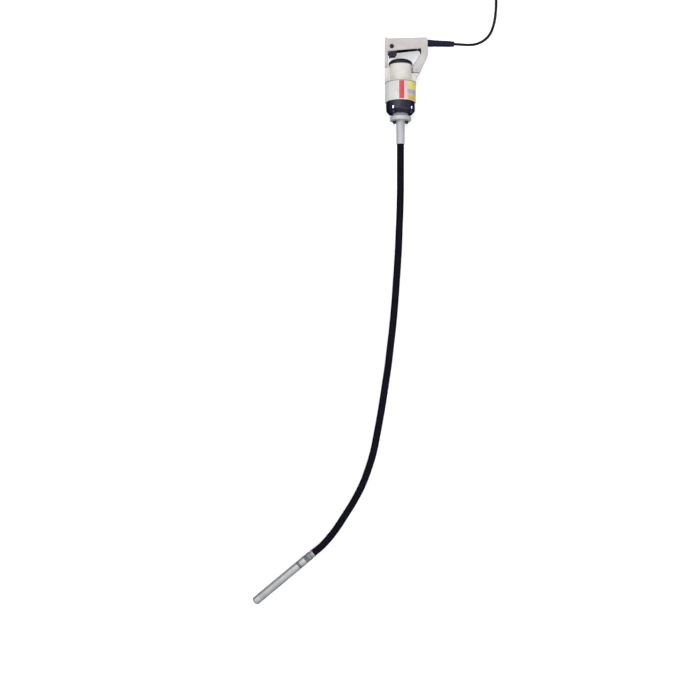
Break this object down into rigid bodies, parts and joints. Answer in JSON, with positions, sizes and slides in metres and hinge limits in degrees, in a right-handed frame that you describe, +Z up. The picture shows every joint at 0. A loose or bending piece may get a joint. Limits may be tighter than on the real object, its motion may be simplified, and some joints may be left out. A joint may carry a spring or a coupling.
{
  "type": "concrete vibrator",
  "caption": "Electric concrete vibrator: D-handle motor, steel coupling, flexible hose with rotating core, steel poker head with eccentric rotor, and mains lead.",
  "frame": {"origin": "on the floor, under the middle of the box round the object without its free hose and lead", "axes": "+Z up, +Y along the motor from the hose end to the handle, +X to the side where the mains lead leaves"},
  "size_m": [0.8545, 2.2867, 0.106],
  "materials": {
    "handle_grey": "light grey moulded plastic, fine matt grain",
    "cap_cream": "cast housing, cream-grey enamel, satin",
    "housing_grey": "light grey enamel, satin",
    "black_casting": "black enamel on casting, semi-gloss",
    "dome_black": "black moulded cover, semi-gloss",
    "black_rubber": "black rubber, matt sheen",
    "guard_rubber": "dark blue-black rubber",
    "trigger_dark": "dark blue-black moulded plastic",
    "switch_black": "black moulded plastic",
    "label_red": "red printed film",
    "label_side": "yellow, mauve and orange printed film",
    "bright_steel": "bright plated steel",
    "satin_steel": "turned steel, satin, light handling marks",
    "head_steel": "ground steel tube, scuffed",
    "blued_steel": "grey-blue turned steel",
    "dark_steel": "black oxide steel",
    "spring_steel": "drawn spring wire",
    "bearing_steel": "polished bearing steel",
    "laminations": "stacked electrical steel sheets",
    "copper_wire": "varnished copper winding",
    "copper": "commutator copper",
    "brass": "pressed brass",
    "carbon": "carbon brush block",
    "fan_plastic": "glass-filled nylon",
    "wire_red": "wire insulation",
    "liner_steel": "spiral steel liner, greased",
    "wire_rope": "stranded steel wire core, greased",
    "lead_black": "black cabtyre sheath"
  },
  "bodies": {
    "tool": {"handle_front_shell": "handle_grey", "handle_back_shell": "handle_grey", "handle_screws": "dark_steel", "handle_cross_bolts": "satin_steel", "grip_pad": "black_rubber", "trigger_spring": "spring_steel", "switch_block": "switch_black", "button_spring": "spring_steel", "cord_guard": "guard_rubber", "lead_entry": "lead_black", "cord_clamp": "switch_black", "cord_clamp_screws": "bright_steel", "switch_wires": "wire_red", "rear_housing": "cap_cream", "rear_housing_screws": "bright_steel", "dome_cover": "dome_black", "brush_holders": "brass", "carbon_brushes": "carbon", "brush_springs": "spring_steel", "motor_housing": "housing_grey", "label_red_band": "label_red", "label_side_plates": "label_side", "stator_core": "laminations", "field_coils": "copper_wire", "front_bearing_outer": "bearing_steel", "rear_bearing_outer": "bearing_steel", "front_bracket": "black_casting", "bracket_screws": "bright_steel", "coupling_flange": "satin_steel", "flange_nuts": "dark_steel", "sleeve_tube": "satin_steel", "hose": "black_rubber", "hose_liner": "liner_steel", "wire_core": "wire_rope", "hose_ferrule": "head_steel", "head_thread_collar": "blued_steel", "head_groove_collar": "head_steel", "head_tube": "head_steel", "head_tip": "head_steel", "head_bearings_outer": "bearing_steel", "oil_seal": "black_rubber", "lead_cord": "lead_black", "lead_coil": "lead_black", "lead_tie": "lead_black", "plug_body": "switch_black", "plug_pins": "brass"},
    "armature": {"armature_shaft": "satin_steel", "armature_core": "laminations", "armature_windings": "copper_wire", "commutator": "copper", "fan": "fan_plastic", "front_bearing_inner": "bearing_steel", "rear_bearing_inner": "bearing_steel", "drive_coupling": "satin_steel", "core_end_motor": "satin_steel"},
    "rotor": {"eccentric_rotor": "satin_steel", "head_bearings_inner": "bearing_steel", "drive_dog": "satin_steel"},
    "trigger": {"trigger": "trigger_dark"},
    "lock_button": {"lock_button": "switch_black"}
  },
  "joints": [
    {"name": "armature_spin", "type": "hinge", "parent": "tool", "child": "armature", "pos_m": [0.163, 0.717, 0.053], "axis": [0, -1, 0], "continuous": true},
    {"name": "rotor_spin", "type": "hinge", "parent": "tool", "child": "rotor", "pos_m": [-0.138, -0.802, 0.014], "axis": [-0.7683, -0.6401, 0], "continuous": true},
    {"name": "trigger_pull", "type": "slide", "parent": "tool", "child": "trigger", "axis": [0, 1, 0], "range_m": [0, 0.004], "stiffness_N_per_m": 1500, "springref_m": -0.002, "deforming": ["trigger_spring"]},
    {"name": "lock_button_press", "type": "slide", "parent": "tool", "child": "lock_button", "axis": [0, 0, -1], "range_m": [0, 0.003], "stiffness_N_per_m": 600, "springref_m": -0.001, "deforming": ["button_spring"]}
  ],
  "couplings": [
    {"joint": "rotor_spin", "follows": "armature_spin", "ratio": 1}
  ]
}
